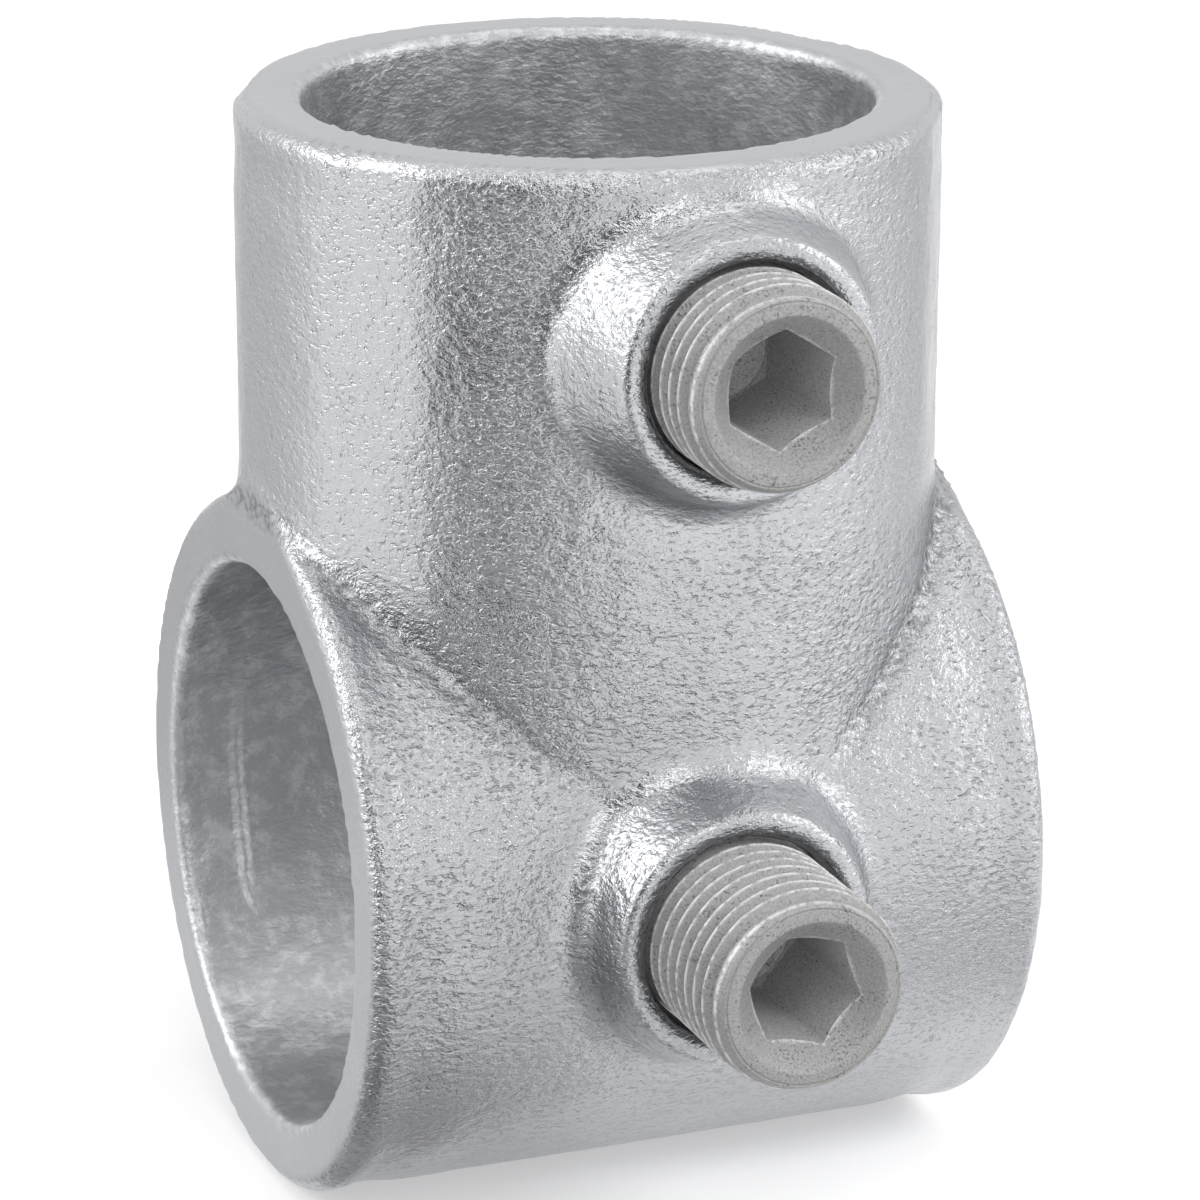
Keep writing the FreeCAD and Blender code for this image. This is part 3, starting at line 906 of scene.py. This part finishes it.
started = maths(tree, "DIVIDE", faded, given["Groove Depth"])
on_thread = maths(tree, "MULTIPLY", outside, started)
near_crest = blend_range(tree, flank, *CREST_FADES, 1.0, 0.0)
cut = store(tree, cut, {
    "groove": maths(tree, "MULTIPLY", flank, on_thread),
    "crest": maths(tree, "MULTIPLY", near_crest, on_thread),
    "turned": maths(tree, "GREATER_THAN", radius, mm(DRILL_RADIUS + WALL_MARGIN)),
})
finish_geometry_tree(tree, cut, zinc_plate)
thread_tree = tree
print("thread tree inputs:", thread_inputs)

# %% [markdown]
# The key socket is a hexagon with slightly rounded corners, pressed in after the countersink.
# A Boolean takes it out, and leaves the scalloped edge where flats meet the cone.

# %% Key socket and finished screws
HEX_SIDES = 6
HEX_INNER_RADIUS, HEX_DEPTH, HEX_CORNER_ROUND, HEX_OVERSHOOT = 3.25, 10.8, 0.16, 1.0
UPPER_TURN, LOWER_TURN = 27.6, -11.5
SHARP_ANGLE = math.radians(38)
THREAD = {
    "Radius": mm(SCREW_RADIUS),
    "Pitch": mm(1.337),
    "Groove Depth": mm(0.72),
    "Crest Width": 0.09,
    "Fade In": mm(0.6),
}


def hexagon_prism(name):
    """The shape of the key socket, reaching out of the screw's end."""
    corner_radius = HEX_INNER_RADIUS / math.cos(math.pi / HEX_SIDES)
    angles = [math.tau * side / HEX_SIDES for side in range(HEX_SIDES)]
    corners = [
        Vector((corner_radius * math.cos(angle), corner_radius * math.sin(angle)))
        for angle in angles
    ]
    outline = []
    for side, corner in enumerate(corners):
        before, after = corners[side - 1], corners[(side + 1) % HEX_SIDES]
        outline += eased_corner(before, corner, after, HEX_CORNER_ROUND)
    count = len(outline)
    depths = (-HEX_OVERSHOOT, HEX_DEPTH)
    points = [mm(point.x, depth, point.y) for depth in depths for point in outline]
    faces = [tuple(range(count)), tuple(range(2 * count - 1, count - 1, -1))]
    for index in range(count):
        following = (index + 1) % count
        faces.append((index, count + index, count + following, following))
    return closed_piece(name, points, faces)


def finished_screw(name, node_name, height, turn):
    """One set screw, threaded and broached, in its place in the fitting."""
    blank = spun(name + "_blank", screw_rings)
    run_geometry_tree(blank, thread_tree, THREAD)
    threaded = baked(blank, name + "_threaded")
    key = hexagon_prism(name + "_key")
    socket_cut = threaded.modifiers.new("key_socket", "BOOLEAN")
    socket_cut.operation = "DIFFERENCE"
    socket_cut.solver = "EXACT"
    socket_cut.object = key
    screw = baked(threaded, name)
    bpy.data.objects.remove(key)
    outer_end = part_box(node_name)[0].y
    spin_round = Matrix.Rotation(math.radians(turn), 4, Vector((0, -1, 0)))
    screw.data.transform(Matrix.Translation((0, outer_end, mm(height))) @ spin_round)
    screw.data.shade_smooth()
    screw.data.set_sharp_from_angle(angle=SHARP_ANGLE)
    print(name, triangle_count(screw), "triangles")
    return screw


upper_screw = finished_screw("upper_screw_threaded", "upper_set_screw", UPPER_SCREW_HEIGHT, UPPER_TURN)
lower_screw = finished_screw("lower_screw_threaded", "lower_set_screw", 0.0, LOWER_TURN)

# %% [markdown]
# The plating on the screws is dull: a pale neutral grey with a fine grain and a few dark
# specks. The thread's crests are brighter in short dashes, partly from wear and partly as a
# painted highlight, and painted shade darkens its grooves a little. Inside the key socket the
# colour is paler: painted light that reaches into it.

# %% Plating material
PLATE_PALE = (0.335, 0.335, 0.332, 1)
PLATE_DARK = (0.16, 0.16, 0.16, 1)
# The crests' colour: partly wear and partly a painted highlight.
PLATE_WEAR_AND_HIGHLIGHT = (0.64, 0.64, 0.635, 1)
# Painted light, for the inside of the key socket.
PLATE_INSIDE_PAINTED_LIGHT = (0.62, 0.62, 0.62, 1)
GRAIN_HEIGHT, SPECK_DEPTH = 0.05, 0.04
SPECK_RANGE, GRAIN_RANGE, DASH_RANGE = (0.90, 0.96), (0.35, 0.7), (0.36, 0.56)
# Among these, the painted shade for the thread's grooves, and the least of the crests' painted
# highlight.
CLOUD_SHARE, GROOVE_PAINTED_SHADE, GRAIN_DARKENING, LEAST_WEAR_AND_HIGHLIGHT = 0.5, 0.06, 0.4, 0.25
SHINE_RANGE, FINEST_PLATE, COARSEST_PLATE = (0.3, 0.7), 0.42, 0.58

place = object_place(plate_tree)
fine = shade_noise(plate_tree, place, grain=0.15, detail=2.0)
dashes = shade_noise(plate_tree, place, grain=0.5, detail=2.0)
cloud = shade_noise(plate_tree, place, grain=1.6, detail=3.0)

speckled = maths(plate_tree, "MULTIPLY_ADD", cloud, CLOUD_SHARE, fine)
specks = blend_range(plate_tree, speckled, *SPECK_RANGE)
grainy = blend_range(plate_tree, fine, *GRAIN_RANGE, 0.0, GRAIN_DARKENING)
# Painted shade in the thread's grooves, added to the grain's darker tone and the specks.
darker = maths(plate_tree, "MULTIPLY_ADD", mark(plate_tree, "groove"), GROOVE_PAINTED_SHADE, grainy)
darker = maths(plate_tree, "MAXIMUM", darker, specks)
# Short dashes along the crests, partly wear and partly a painted highlight.
dashed = blend_range(plate_tree, dashes, *DASH_RANGE, LEAST_WEAR_AND_HIGHLIGHT, 1.0)
wear_and_highlight = maths(plate_tree, "MULTIPLY", mark(plate_tree, "crest"), dashed)
# Inside the key socket the colour is paler: painted light that reaches into it.
coat = mixed_colour(plate_tree, mark(plate_tree, "turned"), PLATE_INSIDE_PAINTED_LIGHT, PLATE_PALE)
coat = mixed_colour(plate_tree, darker, coat, PLATE_DARK)
grain_height = maths(plate_tree, "MULTIPLY", fine, GRAIN_HEIGHT)
finish_metal(
    plate_tree,
    colour=mixed_colour(plate_tree, wear_and_highlight, coat, PLATE_WEAR_AND_HIGHLIGHT),
    metallic=0.4,
    roughness=blend_range(plate_tree, fine, *SHINE_RANGE, FINEST_PLATE, COARSEST_PLATE),
    height=maths(plate_tree, "MULTIPLY_ADD", specks, -SPECK_DEPTH, grain_height),
    strength=1.0,
)
print("plating ready")

# %% [markdown]
# ## Which piece moves with what
#
# Each dressed piece stands for one solid, and moves with that solid's body: the screws travel
# in and out, and the casting stays.

# %% Ride and replace
for piece, body, node_name, finish in (
    (casting, "casting", "cast_tee", "galvanised_iron"),
    (upper_screw, "upper_screw", "upper_set_screw", "plated_steel"),
    (lower_screw, "lower_screw", "lower_set_screw", "plated_steel"),
):
    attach(piece, body)
    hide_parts(node_name)

# %% Sizes, and the end
print("solid model:", [[round(value / MM, 2) for value in corner] for corner in cad_box])
